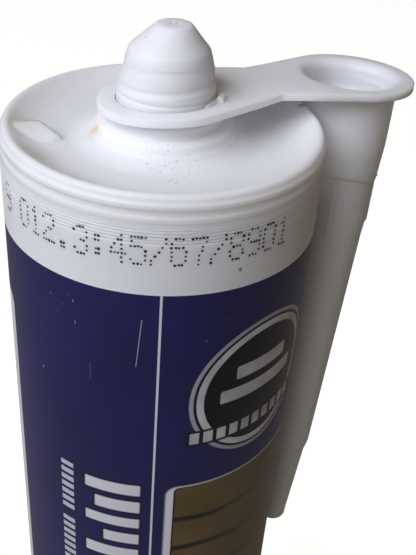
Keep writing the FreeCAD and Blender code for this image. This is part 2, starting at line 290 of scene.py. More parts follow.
def spout_shifted(points):
    """Move the spout a little to the right, and its hot-cut tip further: x + shift * ease(height) +
    tip shift * s^1.5, s the share of the way from the bend to the tip."""
    height = points[..., 2]
    bend = np.clip((height - TIP_BEND) / (TIP_HEIGHT - TIP_BEND), 0, 1) ** 1.5
    x = points[..., 0] + SPOUT_SHIFT * ease((height - 5) / 4) + TIP_SHIFT * bend
    return np.stack([x, points[..., 1], height], axis=-1)


# Ridges and fine grooves outside the rim
FINE_START = 5.15
FINE_PITCH = 0.5
FINE_COUNT = 5
FINE_DEPTH = 0.16
FINE_HALF = 0.16

# Greatest distance between points along the barrel's wall
LONG_SPACING = 8


def rim_profile():
    """Over the bead of the lip and down the outside: groove, ridge, round groove, ridge, fine V grooves."""
    turn = np.linspace(BEAD_START, 0, 13)[1:]
    bead = np.stack([BEAD_CENTRE_R + BEAD_R * np.cos(turn), -BEAD_R + BEAD_R * np.sin(turn)], axis=1)
    r = BARREL_R
    corners = [
        (r - 0.4, -0.76, 0), (r - 0.36, -0.98, 0.25), (r - 0.02, -1.35, 0.3), (r, -1.95, 0.3),
        (r - 0.22, -2.35, 0.5), (r - 0.22, -2.9, 0.5), (r, -3.3, 0.3), (r, -3.95, 0.2),
        (r - 0.07, -4.1, 0.12), (r - 0.07, -4.8, 0.06), (r, -4.92, 0.03),
    ]
    for number in range(FINE_COUNT):
        middle = -FINE_START - number * FINE_PITCH
        corners += [(r, middle + FINE_HALF, 0.03), (r - FINE_DEPTH, middle, 0.04),
                    (r, middle - FINE_HALF, 0.03)]
    corners += [(r, -8.0, 0), (r, -9.0, 0)]
    return np.concatenate([bead[:-1], rounded(corners)])


def cartridge_profiles():
    """Sections of the cartridge's outline, in order: spout, thread, boss, dish, rim and wall, inside."""
    top = TIP_HEIGHT
    tip = filled(rounded([
        (0, top - 0.2, 0), (0.3, top - 0.2, 0.15), (0.75, top + 0.02, 0.2), (2.6, top - 0.02, 0.9),
        (CREST_RADII[-1], CREST_HEIGHTS[-1] + 0.1, 1.3), (CREST_RADII[-2] + 0.02, CREST_HEIGHTS[-2], 0),
    ]), 0.45)
    heights = np.arange(CREST_HEIGHTS[-2] - 0.1, CREST_HEIGHTS[1], -0.1)
    thread = np.stack([np.interp(heights, CREST_HEIGHTS, CREST_RADII), heights], axis=1)
    boss = filled(rounded([
        (7.4, 5.2, 0), (7.2, 4.85, 0.1), (7.48, 4.55, 0.12), (7.48, 2.05, 0.1), (8.6, 2.05, 0.3),
        (8.75, 0.45, 0.6), (10.3, 0.1, 0.4), (10.6, -0.95, 0.4), (BOSS_FOOT_R, -1.3, 0),
    ]), 0.4)
    dish = dish_profile()
    dish = dish[dish[:, 0] > BOSS_FOOT_R + 0.05]
    r = BARREL_R
    foot = LIP_Z
    wall = filled(rounded([
        (r, -9.0, 0), (r, 0.3 - foot, 0), (r, -foot, 0.3), (REAR_BORE_R + 0.3, -foot, 0.1),
        (REAR_BORE_R, 0.3 - foot, 0.1), (REAR_BORE_R, REAR_BORE_DEPTH - foot, 0.2),
        (BORE_R, REAR_BORE_DEPTH + 0.25 - foot, 0.2), (BORE_R, 30 - foot, 0),
    ]), LONG_SPACING)
    inside = filled(rounded([
        (BORE_R, 30 - foot, 0), (BORE_R, -4.4, 2.0), (7.2, -4.4, 0.5), (7.2, -1.0, 0.5),
        (5.65, 5.2, 0.5), (4.2, 10.0, 0.5), (1.8, 13.0, 0.4), (0, 13.0, 0),
    ]), LONG_SPACING)
    return tip, thread, boss, dish, rim_profile(), wall[1:], inside[1:]


def barrel_angles():
    """Column angles round the barrel, closer together across the lug than on the rest of the turn."""
    first = LUG_AZIMUTH - LUG_BEFORE
    last = LUG_AZIMUTH + LUG_AFTER
    fine = np.linspace(first, last, LUG_COLUMNS, endpoint=False)
    rest = np.linspace(last, first + ROUND, BARREL_COLUMNS - LUG_COLUMNS, endpoint=False)
    return np.concatenate([fine, rest])


def make_cartridge():
    """One closed surface of revolution, its thread cut into the radius and the lug raised in its dish."""
    sections = cartridge_profiles()
    profile = np.concatenate(sections)
    angles = barrel_angles()
    points = turned(profile, angles)
    first = len(sections[0])
    last = first + len(sections[1])
    height = profile[first:last, 1:2]
    radius = profile[first:last, :1] - thread_groove(height, angles)
    points[first:last, :, 0] = radius * np.cos(angles)
    points[first:last, :, 1] = radius * np.sin(angles)
    first = last + len(sections[2])
    last = first + len(sections[3])
    points[first:last] = with_lug(points[first:last])
    points = spout_shifted(points)
    points[..., 2] += LIP_Z
    quads = grid_quads(len(profile), BARREL_COLUMNS)
    return make_piece("cartridge_moulding", points.reshape(-1, 3), quads[:, ::-1])


# Ring, strap, flange and hanging nozzle, in the plate's own flat coordinates: x from the ring's centre
# towards the nozzle, y across, h the height above the plate's top face
MOUTH = np.array(socket["pos_m"]) / MM + NOZZLE_AXIS * 7.4
STRAP_AZIMUTH = math.atan2(MOUTH[1], MOUTH[0])
HANG = math.hypot(MOUTH[0], MOUTH[1])
RING_R = 10.4
RING_HOLE_R = 7.65
FLANGE_R = 10.7
WAIST_X = 16.8
WAIST_HALF = 6.2
BEND_HALF = 5.0
TOP_ROUND = 0.17
BOTTOM_ROUND = 0.14
WAIST_COLUMNS = 28
SIDE_COLUMNS = 34
ARC_COLUMNS = 140


def side_turn(radius, reach):
    """Angle, from the waist's direction, at which the strap's straight side touches a disc."""
    corner = math.hypot(reach, WAIST_HALF)
    return math.atan2(WAIST_HALF, reach) + math.acos(radius / corner)


def outline_angles(radius, reach):
    """Column angles about a disc's centre, 0 towards the waist: the waist's points, one straight side, the
    disc's arc and the other side. The waist's points are crowded at its two ends by a sine."""
    touch = side_turn(radius, reach)
    waist_y = WAIST_HALF * np.sin(np.linspace(-math.pi / 2, math.pi / 2, WAIST_COLUMNS + 1))
    waist = np.arctan2(waist_y, reach)
    side = np.linspace(waist[-1], touch, SIDE_COLUMNS + 1)[1:]
    arc = np.linspace(touch, ROUND - touch, ARC_COLUMNS + 1)[1:]
    return np.concatenate([waist, side, arc, ROUND - side[::-1][1:]])


def outline_radius(angles, radius, reach):
    """Distance from the disc's centre to the outline: the waist line x = reach, the side tangent to the disc,
    radius / cos(angle - touch), or the disc itself."""
    touch = side_turn(radius, reach)
    off = np.abs(np.angle(np.exp(1j * angles)))
    corner = math.atan2(WAIST_HALF, reach)
    side = radius / np.cos(np.clip(off - touch, -1.5, 0))
    waist = reach / np.cos(np.minimum(off, 1.5))
    return np.where(off <= corner + 1e-9, waist, np.where(off < touch, side, radius))


def edge_distance(x, y):
    """Distance in from the plate's outline: to the ring's arc, a straight side or the flange's arc, by x."""
    y = np.abs(y)
    found = []
    for radius, reach, along in ((RING_R, WAIST_X, x), (FLANGE_R, HANG - WAIST_X, HANG - x)):
        touch = side_turn(radius, reach)
        side = radius - (along * math.cos(touch) + y * math.sin(touch))
        found.append(np.where(along > radius * math.cos(touch), side, radius - np.hypot(along, y)))
    return np.maximum(np.where(x < WAIST_X, found[0], found[1]), 0)


def fillet_drop(distance, radius):
    """How far a rounded edge has fallen at a distance in from it: r - sqrt(r^2 - (r - d)^2)."""
    left = np.clip(radius - distance, 0, radius)
    return radius - np.sqrt(radius * radius - left * left)


# The nozzle's axis with the strap turned along x, and the turns that lean the flange and place the strap
LOCAL_AXIS = np.array([
    NOZZLE_AXIS[0] * math.cos(STRAP_AZIMUTH) + NOZZLE_AXIS[1] * math.sin(STRAP_AZIMUTH),
    NOZZLE_AXIS[1] * math.cos(STRAP_AZIMUTH) - NOZZLE_AXIS[0] * math.sin(STRAP_AZIMUTH),
    NOZZLE_AXIS[2]])
LEAN = np.array(Vector((0, 0, 1)).rotation_difference(Vector(LOCAL_AXIS)).to_matrix())
TURN = np.array(Matrix.Rotation(STRAP_AZIMUTH, 3, "Z"))
RING_DROOP = 0.11


def plate_to_frame(points):
    """Place flat plate coordinates: level on the ring's side, square to the leaning nozzle on the flange's
    side, and an eased mix of the two places across the strap's bend. The ring's left half droops onto its
    seat, by slope * (sqrt(x^2 + 4) - x) / 2, with x the distance to the right of the barrel's axis."""
    level = points + np.array([0, 0, PLATE_TOP])
    right = points[..., 0] * math.cos(STRAP_AZIMUTH) - points[..., 1] * math.sin(STRAP_AZIMUTH)
    level[..., 2] -= RING_DROOP * (np.sqrt(right * right + 4) - right) / 2
    leaning = (points - np.array([HANG, 0, 0])) @ LEAN.T + np.array([HANG, 0, MOUTH[2]])
    share = ease((points[..., :1] - WAIST_X + BEND_HALF) / (2 * BEND_HALF))
    return (level * (1 - share) + leaning * share) @ TURN.T


# Row places on the plate, as distances from the hole's edge and from the outline
HOLE_ROWS = np.array([0, 0.04, 0.1, 0.2, 0.3, 0.45, 0.7, 0.95, 1.15, 1.25, 1.35, 1.5])
EDGE_ROWS = np.array([0.7, 0.4, 0.25, 0.17, 0.12, 0.08, 0.045, 0.015, 0])
MIDDLE_ROWS = 5
HOLE_ROUND = 0.15

# Moulding nib on the ring, a small block and a thin sliver beside it on the hole's edge: height, from and to
# in degrees, how soft those ends are, from and to in radius, and how soft those are
NIB_PARTS = ((NIB_HEIGHT, -20.0, -4.0, 2.0, 7.85, 8.95, 0.15), (0.4, -42.0, -17.0, 4.0, 7.68, 8.05, 0.12))


def nib_height(azimuth, radius):
    """Height of the nib over the plate: the higher of its two parts."""
    parts = [height * (between(azimuth, first, last, blur) * between(radius, inner, outer, soft))
             for height, first, last, blur, inner, outer, soft in NIB_PARTS]
    return np.maximum(*parts)


def plate_rows(inner, angles, outer):
    """Radii from the hole's edge to the outline, rows by columns, crowded at both ends."""
    near = inner + HOLE_ROWS[:, None] + 0 * angles
    far = outer - EDGE_ROWS[:, None]
    share = (np.arange(1, MIDDLE_ROWS + 1) / (MIDDLE_ROWS + 1))[:, None]
    return np.concatenate([near, near[-1:] * (1 - share) + far[:1] * share, far])


def plate_face(radii, x, y, inner, top):
    """One face of the plate, with rounded edges along the outline and round the hole."""
    edge = fillet_drop(edge_distance(x, y), TOP_ROUND if top else BOTTOM_ROUND)
    hole = fillet_drop(radii - inner, HOLE_ROUND)
    drop = np.maximum(edge, hole)
    return np.stack([x, y, -drop if top else drop - PLATE], axis=-1)


def ring_grid():
    """Closed loop of rows round the ring: in over the top face, down the hole, out over the bottom face."""
    angles = outline_angles(RING_R, WAIST_X)
    radii = plate_rows(RING_HOLE_R, angles, outline_radius(angles, RING_R, WAIST_X))
    x, y = radii * np.cos(angles), radii * np.sin(angles)
    top = plate_face(radii, x, y, RING_HOLE_R, True)
    azimuth = np.degrees(np.angle(np.exp(1j * (angles + STRAP_AZIMUTH))))
    top[..., 2] += nib_height(azimuth, radii)
    bottom = plate_face(radii, x, y, RING_HOLE_R, False)
    return np.concatenate([top[::-1], bottom])


# Hanging nozzle: distances run down its own axis from the mouth
COLLAR_R = 8.1
COLLAR_SHOULDER = 11.2
COLLAR_LOW_R = 7.7
COLLAR_LENGTH = 17.2
GRIP_R = 7.3
GRIP_LENGTH = 27.1
FIN_COUNT = 4
FIN_FIRST = math.radians(-95)
FIN_REACH = 0.4
FIN_FLANK = 0.4
FIN_HALF = 0.5
FIN_CHAMFER = 0.8
TAPER_R = 7.15
TAPER_LOW_R = 5.15
TAPER_LENGTH = 79.4
STEP_R = 4.55
STEP_LENGTH = 3.1
TIP_R = 3.05
NOZZLE_LENGTH = 103.0
NOZZLE_WALL = 1.25
TIP_BORE_R = 1.6
MOUTH_ROUND = 1.5

# Greatest distances between points down the nozzle, and the rows of a flange's face
SOCKET_SPACING = 0.35
TAPER_SPACING = 6
FIN_SPACING = 0.25
COLLAR_SPACING = 1.2
FLANGE_ROWS = 8

# Waved lower end of the collar
COLLAR_DIP = 0.95
COLLAR_DIP_MEAN = -0.55
COLLAR_DIP_AZIMUTH = math.radians(-13)
COLLAR_DIP_ENDS = 24
COLLAR_DIP_FADE = 5

# Rib inside the socket, as heights from the mouth
RIB_HEIGHT = 0.3
RIB_SHARE = 0.5
RIB_FOOT = -12.5
RIB_TOP = -2.5


def nozzle_profiles():
    """Inside of the nozzle from its mouth down, and its outside from the tip up, as (radius, height) rows."""
    step = TAPER_LENGTH + STEP_LENGTH
    inside = rounded([
        (SOCKET_R + MOUTH_ROUND + 0.35, 0, 0), (SOCKET_R, 0, MOUTH_ROUND + 0.2),
        (SOCKET_R, -SOCKET_DEPTH, 0.3), (6.35, -SOCKET_DEPTH - NOZZLE_WALL, 0.4),
        (TAPER_LOW_R - NOZZLE_WALL, -TAPER_LENGTH, 1), (STEP_R - NOZZLE_WALL, -step, 1),
        (TIP_BORE_R, -NOZZLE_LENGTH + 0.3, 0),
    ])
    near = inside[:, 1] > -SOCKET_DEPTH
    inside = np.concatenate([filled(inside[near], SOCKET_SPACING), filled(inside[~near], TAPER_SPACING)])
    tip = rounded([(TIP_BORE_R, -NOZZLE_LENGTH + 0.3, 0), (TIP_BORE_R, -NOZZLE_LENGTH, 0.15),
                   (TIP_R, -NOZZLE_LENGTH, 0.7), (TIP_R + 0.06, -NOZZLE_LENGTH + 2, 0)])
    outside = rounded([
        (TIP_R + 0.06, -NOZZLE_LENGTH + 2, 0), (STEP_R, -step, 2.5), (TAPER_LOW_R, -TAPER_LENGTH, 2.5),
        (TAPER_R, -GRIP_LENGTH - 1.2, 0), (GRIP_R, -GRIP_LENGTH + 0.2, 0),
        (GRIP_R, -COLLAR_LENGTH - 0.5, 0.1), (GRIP_R - 0.25, -COLLAR_LENGTH - 0.1, 0.06),
        (COLLAR_LOW_R, -COLLAR_LENGTH, 0.1), (COLLAR_R, -COLLAR_SHOULDER, 4),
        (COLLAR_R, -PLATE, 0.35), (COLLAR_R + 0.7, -PLATE, 0),
    ])
    low = outside[:, 1] < -GRIP_LENGTH + 0.1
    fins = (outside[:, 1] >= -GRIP_LENGTH + 0.1) & (outside[:, 1] < -COLLAR_LENGTH)
    high = outside[:, 1] >= -COLLAR_LENGTH
    return inside, np.concatenate([
        tip[1:], filled(outside[low], TAPER_SPACING)[1:], filled(outside[fins], FIN_SPACING),
        filled(outside[high], COLLAR_SPACING)])


def with_fins(radii, heights, angles):
    """Radius with the upright fins added between the collar and the end of the grip."""
    rise = 0 * radii + 0 * angles
    for number in range(FIN_COUNT):
        off = np.angle(np.exp(1j * (angles - FIN_FIRST + STRAP_AZIMUTH - number * ROUND / FIN_COUNT)))
        rise = rise + FIN_REACH * ease((FIN_HALF - np.abs(off) * GRIP_R) / FIN_FLANK + 0.5)
    length = ease((heights + GRIP_LENGTH) / FIN_CHAMFER) * (heights < -COLLAR_LENGTH + 0.01)
    return radii + rise * length


def collar_wave(heights, angles):
    """How much lower the collar's end lies at each azimuth: mean + dip * cos(2 (azimuth - place)), faded out
    above the collar's shoulder and down the grip."""
    azimuth = angles + STRAP_AZIMUTH
    dip = COLLAR_DIP_MEAN + COLLAR_DIP * np.cos(2 * (azimuth - COLLAR_DIP_AZIMUTH))
    dip = dip * ease((-COLLAR_SHOULDER - heights) / (COLLAR_LENGTH - COLLAR_SHOULDER))
    return dip * ease((heights + COLLAR_DIP_ENDS) / COLLAR_DIP_FADE)


def with_socket_thread(radii, heights, angles):
    """Radius with a helical rib inside the socket: a raised cosine of the phase, over a share of a pitch."""
    phase = heights / THREAD_PITCH - angles / ROUND
    off_centre = np.abs(phase - np.round(phase)) / (RIB_SHARE / 2)
    rib = 0.5 + 0.5 * np.cos(np.pi * np.clip(off_centre, 0, 1))
    return radii - RIB_HEIGHT * rib * between(heights, RIB_FOOT, RIB_TOP, 1.0)


def flange_grid():
    """Closed loop of rows round the flange: in over its top, down inside, up outside, out under it."""
    angles = outline_angles(FLANGE_R, HANG - WAIST_X)
    outer = outline_radius(angles, FLANGE_R, HANG - WAIST_X)
    inside, outside = nozzle_profiles()
    faces = []
    for inner, top in ((inside[0, 0], True), (outside[-1, 0], False)):
        share = ease(np.linspace(0, 1, FLANGE_ROWS))[:, None]
        far = outer - EDGE_ROWS[:, None]
        radii = np.concatenate([inner * (1 - share) + far[:1] * share, far[1:]])
        x, y = HANG - radii * np.cos(angles), radii * np.sin(angles)
        faces.append(plate_face(radii, x, y, inner - 1, top))
    local = math.pi - angles
    tubes = []
    for profile, shape in ((inside, with_socket_thread), (outside, with_fins)):
        heights = profile[:, 1:2] + 0 * local
        radii = shape(profile[:, :1] + 0 * local, heights, local)
        if shape is with_fins:
            heights = heights - collar_wave(heights, local)
        tubes.append(np.stack([HANG + radii * np.cos(local), radii * np.sin(local), heights], axis=-1))
    return np.concatenate([faces[0][::-1], tubes[0][1:], tubes[1], faces[1][1:]])


def without_waist_wall(quads, rows, columns):
    """Leave out the quads that would close the plate's edge at the waist, where the two halves meet."""
    keep = np.ones((rows, columns), bool)
    keep[-1, :WAIST_COLUMNS] = False
    return quads[keep.ravel()]


def make_nozzle():
    """Ring and flange grids, welded along the waist line and placed in the frame."""
    ring, flange = ring_grid(), flange_grid()
    columns = ring.shape[1]
    quads = []
    for grid, first, flip in ((ring, 0, False), (flange, ring.shape[0] * columns, True)):
        rows = grid.shape[0]
        faces = without_waist_wall(grid_quads(rows, columns, first, True), rows, columns)
        quads.append(faces if flip else faces[:, ::-1])
    points = np.concatenate([ring.reshape(-1, 3), flange.reshape(-1, 3)])
    return make_piece("nozzle_moulding", plate_to_frame(points), np.concatenate(quads)[:, ::-1])


# Piston and paste
BORE_CLEARANCE = 0.05
SKIRT_CLEARANCE = 0.6
SKIRT_WALL = 1.3
PASTE_TOP_DEPTH = 4.45


def make_piston():
    """Cup turned about the barrel's axis: face, two rounded sealing lips and a skirt."""
    lip = BORE_R - BORE_CLEARANCE
    skirt = BORE_R - SKIRT_CLEARANCE
    inner = skirt - SKIRT_WALL
    rear, front = PISTON_REAR, PISTON_FRONT
    profile = rounded([
        (0, front, 0), (lip - 1.2, front, 0.5), (lip, front - 1.2, 0.4), (lip, front - 2.8, 0.15),
        (skirt, front - 3.5, 0.3), (skirt, rear + 2.3, 0.3), (lip, rear + 1.6, 0.3), (lip, rear, 0.2),
        (inner, rear, 0.4), (inner, front - 1.6, 1.2), (9, front - 1.6, 0.2), (8.6, front - 2.0, 0.2),
        (8.0, front - 2.0, 0.2), (7.6, front - 1.6, 0.2), (0, front - 1.6, 0),
    ])
    return make_turned("piston_cup", profile, 2.5, PISTON_COLUMNS)


def make_sealant():
    """Paste column from the piston's face to the shoulder, with the plug inside the spout, turned."""
    radius = BORE_R - BORE_CLEARANCE
    bottom = PISTON_FRONT + BORE_CLEARANCE
    top = LIP_Z - PASTE_TOP_DEPTH
    profile = rounded([
        (0, LIP_Z + 12.9, 0), (1.7, LIP_Z + 12.9, 0.3), (4.1, LIP_Z + 9.9, 0.4), (5.55, LIP_Z + 5.1, 0.4),
        (7.1, LIP_Z - 1.1, 0.4), (7.1, top, 0.2), (radius, top, 2.0), (radius, bottom, 0.2), (0, bottom, 0),
    ])
    return make_turned("sealant_paste", profile, 6, PASTE_COLUMNS)


# Dotted batch code: plain running digits, five by seven dots a character
CODE_TEXT = "9 012.3:45/67/8901"
CODE_START_U = -28.6
CODE_PITCH = 2.75
CODE_DOT_PITCH = 0.49
CODE_ROW_PITCH = 0.7
CODE_BASE = -10.6
CODE_CLIMB = 0.008
CODE_DOT_R = 0.19
CODE_DOT_RISE = 0.02
CODE_DOT_SIDES = 10
CODE_SHAKE = 0.035
CODE_SIZE_SPREAD = 0.12
DIGITS = {
    "0": "01110 10001 10001 10001 10001 10001 01110", "1": "00100 01100 00100 00100 00100 00100 01110",
    "2": "01110 10001 00001 00110 01000 10000 11111", "3": "01110 10001 00001 00110 00001 10001 01110",
    "4": "00010 00110 01010 10010 11111 00010 00010", "5": "11111 10000 11110 00001 00001 10001 01110",
    "6": "01110 10000 11110 10001 10001 10001 01110", "7": "11111 00001 00010 00010 00100 00100 00100",
    "8": "01110 10001 10001 01110 10001 10001 01110", "9": "01110 10001 10001 01111 00001 00001 01110",
    ".": "00000 00000 00000 00000 00000 01100 01100", ":": "00000 01100 01100 00000 01100 01100 00000",
    " ": "", "/": "00001 00001 00010 00100 01000 10000 10000",
}


def code_dot_places():
    """Place of each dot as (u, height): character by character, on a line that climbs slowly."""
    places = []
    for number, letter in enumerate(CODE_TEXT):
        for row, line in enumerate(DIGITS[letter].split()):
            for column, mark in enumerate(line):
                if mark == "1":
                    u = CODE_START_U + number * CODE_PITCH + column * CODE_DOT_PITCH
                    height = CODE_BASE + (6 - row) * CODE_ROW_PITCH + CODE_CLIMB * (u - CODE_START_U)
                    places.append((u, height))
    return np.array(places)


def make_code():
    """Low ink dots on the barrel: each a ring at the wall, a ring a little in and up, and a flat top."""
    places = code_dot_places()
    shaken = places + np.random.default_rng(7).normal(0, CODE_SHAKE, places.shape)
    size = CODE_DOT_R * (1 + np.random.default_rng(8).normal(0, CODE_SIZE_SPREAD, len(places)))[:, None]
    turn = np.arange(CODE_DOT_SIDES) * ROUND / CODE_DOT_SIDES
    rings = []
    for reach, rise in ((1, -0.02), (1, 0.6), (0.8, 1), (0, 1)):
        u = shaken[:, :1] + size * reach * np.cos(turn)
        z = shaken[:, 1:] + size * reach * np.sin(turn)
        radius = BARREL_R + CODE_DOT_RISE * rise
        angle = u / BARREL_R - math.pi / 2
        rings.append(np.stack([radius * np.cos(angle), radius * np.sin(angle), z + LIP_Z], axis=-1))
    points = np.stack(rings, axis=1)
    floor = np.arange(CODE_DOT_SIDES)
    base = np.stack([floor, np.roll(floor, -1), np.zeros_like(floor), np.zeros_like(floor)], axis=1)[1:-1]
    first = (np.arange(len(places)) * len(rings) * CODE_DOT_SIDES)[:, None, None]
    quads = [(one + first).reshape(-1, 4) for one in (grid_quads(len(rings), CODE_DOT_SIDES), base[:, ::-1])]
    return make_piece("code_dots", points.reshape(-1, 3), np.concatenate(quads))


# Colours and nodes

def linear(code):
    """Linear colour of an sRGB hex code such as "F0F1F3"."""
    channels = [int(code[i:i + 2], 16) / 255 for i in (0, 2, 4)]
    return [c / 12.92 if c <= 0.04045 else ((c + 0.055) / 1.055) ** 2.4 for c in channels] + [1.0]


def add(tree, kind, inputs=None, **settings):
    """Add a node, set its properties, then set or link its inputs. A node given as an input gives the first
    output that it has in use."""
    made = tree.nodes.new("ShaderNode" + kind)
    for name, value in settings.items():
        setattr(made, name, value)
    for name, value in (inputs or {}).items():
        if isinstance(value, bpy.types.Node):
            value = next(output for output in value.outputs if output.enabled)
        if isinstance(value, bpy.types.NodeSocket):
            tree.links.new(value, made.inputs[name])
        else:
            made.inputs[name].default_value = value
    return made


def painted(tree, ground, *layers):
    """A ground colour with layers laid over it in turn, each a share from 0 to 1 and the colour it brings."""
    for share, colour in layers:
        ground, colour = [linear(c) if isinstance(c, str) else c for c in (ground, colour)]
        ground = add(tree, "Mix", {0: share, 6: ground, 7: colour}, data_type="RGBA")
    return ground


def product(tree, *values):
    """Numbers multiplied together in turn, such as shares that all have to hold."""
    made = values[0]
    for value in values[1:]:
        made = add(tree, "Math", {0: made, 1: value}, operation="MULTIPLY")
    return made


def patch(tree, place, centre, half, corner, soft):
    """1 inside a round-cornered box of a flat pattern, 0 outside: the box's half size less the corner radius
    is taken from the distance to its centre, and what is left over is compared with the corner radius."""
    nothing = (0, 0, 0)
    core = (half[0] - corner, half[1] - corner, 1)
    steps = (("SUBTRACT", (*centre, 0)), ("ABSOLUTE", nothing), ("SUBTRACT", core), ("MAXIMUM", nothing),
             ("LENGTH", nothing))
    for operation, second in steps:
        place = add(tree, "VectorMath", {0: place, 1: second}, operation=operation)
    return add(tree, "MapRange", {"Value": place, "From Min": corner,
                                            "From Max": corner - min(soft, corner)})


def spot(tree, place, centre, radius, soft):
    """1 inside a ball about a point of the object, fading to 0 over the soft distance."""
    away = add(tree, "VectorMath", {0: place, 1: centre}, operation="DISTANCE")
    return add(tree, "MapRange", {"Value": away, "From Min": radius + soft, "From Max": radius})


def specks(tree, place, spacing, kept, edge, core, channel=0):
    """Small round specks, one to a cell about as wide as the spacing, in the share of the cells that is kept:
    1 within a speck's core and 0 past its edge, both as parts of the spacing."""
    cells = add(tree, "TexVoronoi", {"Vector": place, "Scale": 1 / spacing})
    drawn = add(tree, "SeparateColor", {"Color": cells.outputs["Color"]}).outputs[channel]
    chosen = add(tree, "Math", {0: drawn, 1: kept}, operation="LESS_THAN")
    near = add(tree, "MapRange", {"Value": cells, "From Min": edge, "From Max": core})
    return product(tree, chosen, near)


def clouds(tree, place, size):
    """Soft noise as a colour's share, its clouds about as wide as the size in millimetres."""
    noise = add(tree, "TexNoise", {"Vector": place, "Scale": 1 / size, "Detail": 2.0})
    return add(tree, "MapRange", {"Value": noise, "From Min": 0.3, "From Max": 0.7})


def repeats(tree, value, start, pitch, share):
    """1 over the first share of each pitch, counted down from the start."""
    phase = add(tree, "Math", {0: value, 1: -1 / pitch, 2: start / pitch}, operation="MULTIPLY_ADD")
    phase = add(tree, "Math", {0: phase}, operation="FRACT")
    return add(tree, "Math", {0: phase, 1: share}, operation="LESS_THAN")


def millimetres(tree):
    """Object coordinates in millimetres."""
    place = add(tree, "TexCoord").outputs["Object"]
    return add(tree, "VectorMath", {0: place, "Scale": 1 / MM}, operation="SCALE")


def new_material(name):
    """A material with nothing in its tree yet, as (material, tree)."""
    material = bpy.data.materials.new(name)
    material.use_nodes = True
    material.node_tree.nodes.clear()
    return material, material.node_tree


def finish_material(material, tree, inputs):
    """Give the material its one principled surface, with these inputs."""
    surface = add(tree, "BsdfPrincipled", inputs)
    add(tree, "OutputMaterial", {"Surface": surface})
    return material


# Moulded plastic: sizes in millimetres, the light's reach in metres
CLOUD_SIZE = 9.0
DUST_SPACING = 3.4
DUST_EDGE = 0.075
DUST_CORE = 0.04
DUST_STRENGTH = 0.45
GRAIN_RELIEF = 0.0002
PLASTIC_IOR = 1.5
LIGHT_REACH = 0.0022


def moulded_plastic(tree, place, colours, roughness, grain, dusty):
    """Shared look of moulded polyethylene, as shader inputs: softly clouded colour with sparse dust, and a
    faint grain of the given size in gloss and relief."""
    noise = add(tree, "TexNoise", {"Vector": place, "Scale": 1 / CLOUD_SIZE, "Detail": 3.0})
    dust = product(tree, specks(tree, place, DUST_SPACING, dusty, DUST_EDGE, DUST_CORE), DUST_STRENGTH)
    fine = add(tree, "TexNoise", {"Vector": place, "Scale": 1 / grain, "Detail": 4.0, "Roughness": 0.6})
    gloss = {"Value": fine, "To Min": roughness - 0.06, "To Max": roughness + 0.08}
    relief = {"Height": fine, "Strength": 0.03, "Distance": GRAIN_RELIEF}
    return {"Base Color": painted(tree, colours[0], (noise, colours[1]), (dust, "8C7A62")),
            "Roughness": add(tree, "MapRange", gloss),
            "Normal": add(tree, "Bump", relief)}


# The print, as u and height: a navy field all round, a pale panel with rules at the back, and a thin line
SOFT_EDGE = 0.12
PRINT_TOP = -15.45
PRINT_FOOT = 12 - LIP_Z
PRINT_MIDDLE = (PRINT_TOP + PRINT_FOOT) / 2
PRINT_HALF = (PRINT_TOP - PRINT_FOOT) / 2
FIELD_HALF = 78.6
FILM_HALF = 90
FILM_GLOSS = 0.06
BACK_U = -50.6
BACK_HALF = 21.5
BACK_INSET = 6
RULE_PITCH = 4.0
LINE_U = 0.55
LINE_HALF = 0.21

# Column of plain bars, some narrower at their left, and the dashes beside it
BAR_U = -6.35
BAR_HALF = 4.95
BAR_TOP = -53.3
BAR_PITCH = 4.1
BAR_COUNT = 30
BAR_SHADOW = 0.5
BAR_GAP_EVERY = 7
BAR_HEIGHTS = (0.34, 0.36, 0.31)
BAR_WIDTHS = (1, 0.82, 1, 0.66)
DASH_U = -14.8
DASH_HALF = 1.35
DASH_TOP = -53.0
DASH_FOOT = -172.0
DASH_PITCH = 1.75
DASH_GROUP = 8

# Gold panel with soft dark bands
PANEL_U = 17.4
PANEL_HALF = 14.9
PANEL_TOP = -54.2
PANEL_FOOT = -150.0
BAND_PITCH = 7.9
BAND_PHASE = -58.65 / BAND_PITCH + 0.12

# Medallion: half widths and colours of its rings, heights and half widths of its bars, and its ribbon
SEAL_U = 18.9
SEAL_HEIGHT = -36.2
SEAL_BARS = ((4.2, 5.6), (0.0, 8.2))
SEAL_BAR_HALF = 1.35
RIBBON_AT = (SEAL_U - 1.2, SEAL_HEIGHT - 7.6)
RIBBON_HALF = (12.6, 1.9)
BLOCKS_HALF = (11.7, 1.25)
BLOCK_PITCH = 2.35
BLOCK_START = -6.0

# Reddish crumbs before the spout
CRUMB_SIZE = 0.62
CRUMB_PLACE = (1.0, -13.0, LIP_Z - 2.4)


def on_barrel(u, height):
    """Point on the barrel's outside at a distance round it and a height, in the frame's millimetres."""
    angle = u / BARREL_R - math.pi / 2
    return (BARREL_R * math.cos(angle), BARREL_R * math.sin(angle), LIP_Z + height)


